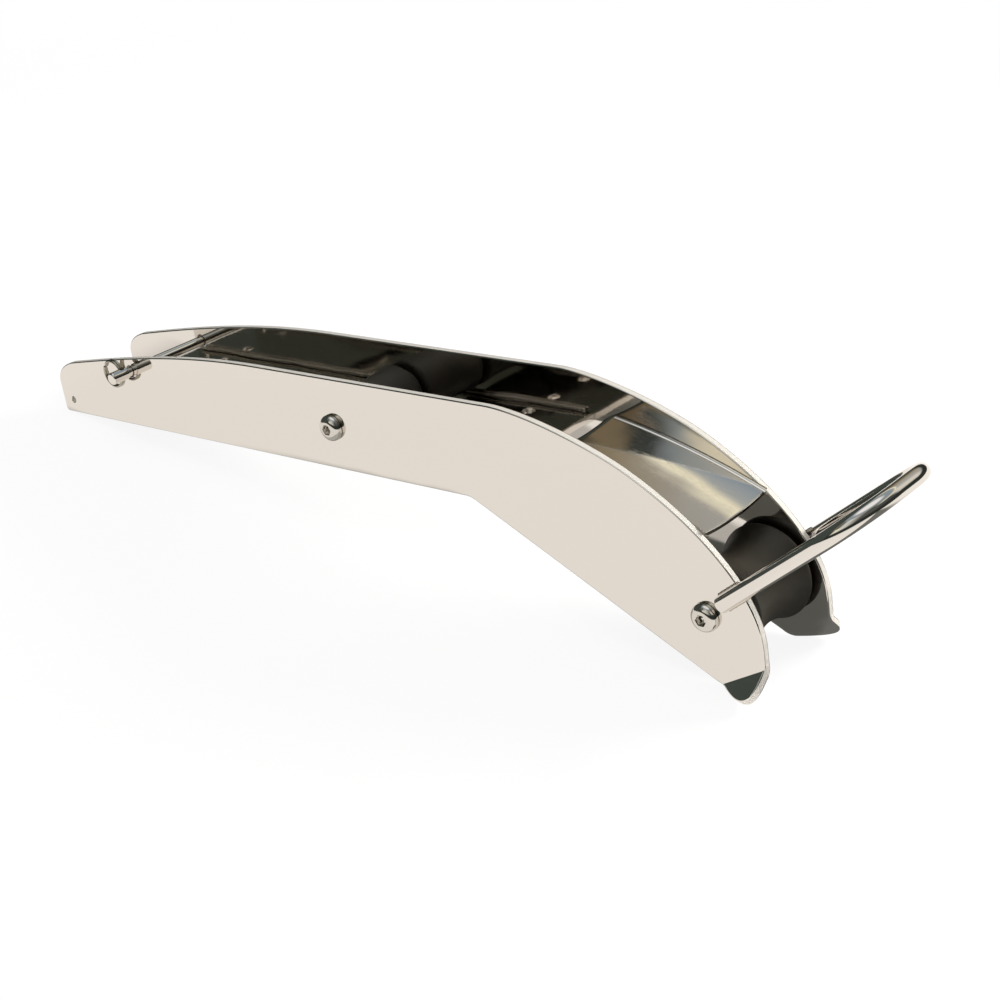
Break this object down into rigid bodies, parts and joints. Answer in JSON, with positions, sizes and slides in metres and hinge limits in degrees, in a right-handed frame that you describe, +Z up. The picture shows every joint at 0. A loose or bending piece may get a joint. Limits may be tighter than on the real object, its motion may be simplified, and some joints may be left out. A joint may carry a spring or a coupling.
{
  "type": "bow roller",
  "caption": "Long stainless bow roller: two curved cheeks on a deck plate, a nose ramp, turning rollers, a rod hoop over the nose and a sliding keeper pin with a pull ring.",
  "frame": {"origin": "middle of the underside of the deck plate, where it lies on the deck", "axes": "+X forward to the nose, +Y to starboard, +Z up from the deck"},
  "size_m": [0.6872, 0.1037, 0.1495],
  "materials": {
    "polished_steel": "mirror polished stainless",
    "fastener_steel": "bright stainless",
    "weld_steel": "satin stainless",
    "black_rubber": "matte",
    "acetal": "satin"
  },
  "bodies": {
    "frame": {"cheek_port": "polished_steel", "cheek_starboard": "polished_steel", "deck_plate": "polished_steel", "deck_weld_port": "weld_steel", "deck_weld_starboard": "weld_steel", "nose_ramp": "polished_steel", "ramp_weld_port": "weld_steel", "ramp_weld_starboard": "weld_steel", "hoop": "polished_steel", "hoop_weld_port_upper": "weld_steel", "hoop_weld_port_lower": "weld_steel", "hoop_weld_starboard_upper": "weld_steel", "hoop_weld_starboard_lower": "weld_steel", "front_bush": "fastener_steel", "front_thrust_washer_port": "acetal", "front_thrust_washer_starboard": "acetal", "front_axle_bolt": "fastener_steel", "front_axle_washer": "fastener_steel", "front_lock_nut": "fastener_steel", "middle_bush": "fastener_steel", "middle_thrust_washer_port": "acetal", "middle_thrust_washer_starboard": "acetal", "middle_axle_bolt": "fastener_steel", "middle_axle_washer": "fastener_steel", "middle_lock_nut": "fastener_steel"},
    "front_roller": {"front_roller": "black_rubber"},
    "middle_roller": {"middle_roller": "black_rubber"},
    "keeper": {"keeper_pin": "polished_steel", "keeper_ball_upper": "fastener_steel", "keeper_ball_lower": "fastener_steel"},
    "pull_ring": {"keeper_ring": "polished_steel"}
  },
  "joints": [
    {"name": "front_roller_turn", "type": "hinge", "parent": "frame", "child": "front_roller", "pos_m": [0.372, 0, -0.0435], "axis": [0, 1, 0], "continuous": true},
    {"name": "middle_roller_turn", "type": "hinge", "parent": "frame", "child": "middle_roller", "pos_m": [0.0915, 0, 0.029], "axis": [0, 1, 0], "continuous": true},
    {"name": "keeper_slide", "type": "slide", "parent": "frame", "child": "keeper", "axis": [0, -1, 0], "range_m": [0, 0.077]},
    {"name": "pull_ring_swing", "type": "hinge", "parent": "keeper", "child": "pull_ring", "pos_m": [-0.113, -0.0432, 0.042], "axis": [0, 0, 1], "range_deg": [-13, 193]}
  ]
}
